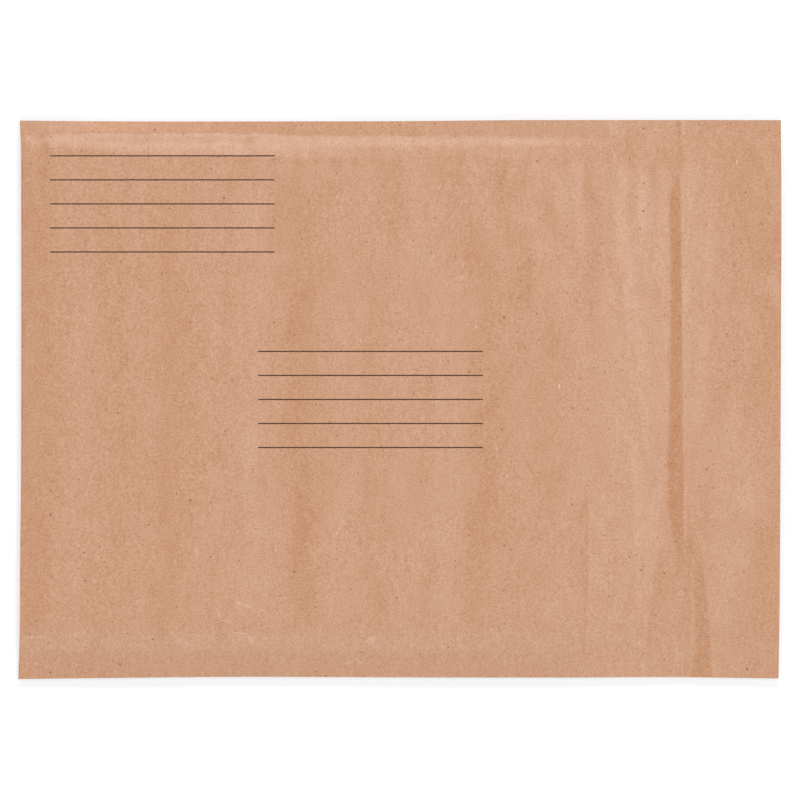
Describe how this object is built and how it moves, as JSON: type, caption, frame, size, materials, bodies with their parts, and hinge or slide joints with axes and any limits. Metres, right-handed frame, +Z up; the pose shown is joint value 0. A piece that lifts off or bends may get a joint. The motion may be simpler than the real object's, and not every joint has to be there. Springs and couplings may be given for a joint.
{
  "type": "padded envelope",
  "caption": "Flat brown kraft mailing envelope with a bubble film lining, bonded side seams, ruled address lines and an unfolded self-seal flap, open at its mouth.",
  "frame": {"origin": "middle of the footprint, on the surface the envelope lies on", "axes": "+X from the closed end to the flap, +Y across the bag towards the side with the narrow seam, +Z up through the address panel"},
  "size_m": [0.3276, 0.24, 0.0119],
  "materials": {
    "kraft_paper": "matte unbleached kraft with fine fibre flecks",
    "bubble_film": "clear air-bubble film, glossy",
    "adhesive": "tacky hot-melt band",
    "release_paper": "smooth siliconised paper, satin"
  },
  "bodies": {
    "root": {"kraft_envelope": "kraft_paper", "bubble_lining": "bubble_film", "adhesive_strip": "adhesive", "release_liner": "release_paper"}
  },
  "joints": []
}
